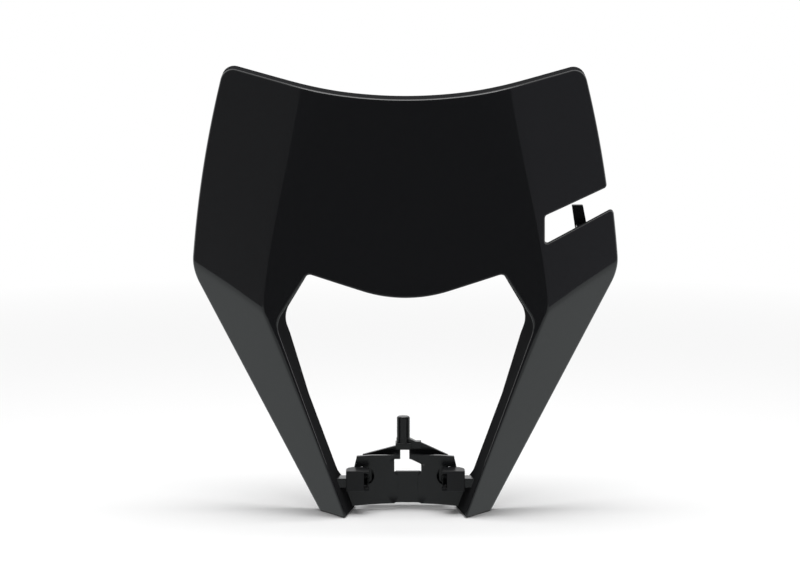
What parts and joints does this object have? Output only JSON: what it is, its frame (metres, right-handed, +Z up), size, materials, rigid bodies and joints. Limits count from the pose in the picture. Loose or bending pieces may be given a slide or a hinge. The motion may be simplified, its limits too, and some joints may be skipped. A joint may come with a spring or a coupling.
{
  "type": "headlight cowl",
  "caption": "One-piece moulded headlight cowl for an off-road motorbike: a gloss front with swept wings, two tapering legs, a lamp opening, a hose notch and a bridge with a locating pin.",
  "frame": {"origin": "on the floor under the middle of the cowl's width and depth, as it stands on the ends of its legs", "axes": "+Z up along the cowl's height, the front faces -Y, +X is to the right seen from the front"},
  "size_m": [0.2526, 0.0638, 0.2618],
  "materials": {
    "gloss_black": "gloss"
  },
  "bodies": {
    "root": {"cowl": "gloss_black"}
  },
  "joints": []
}
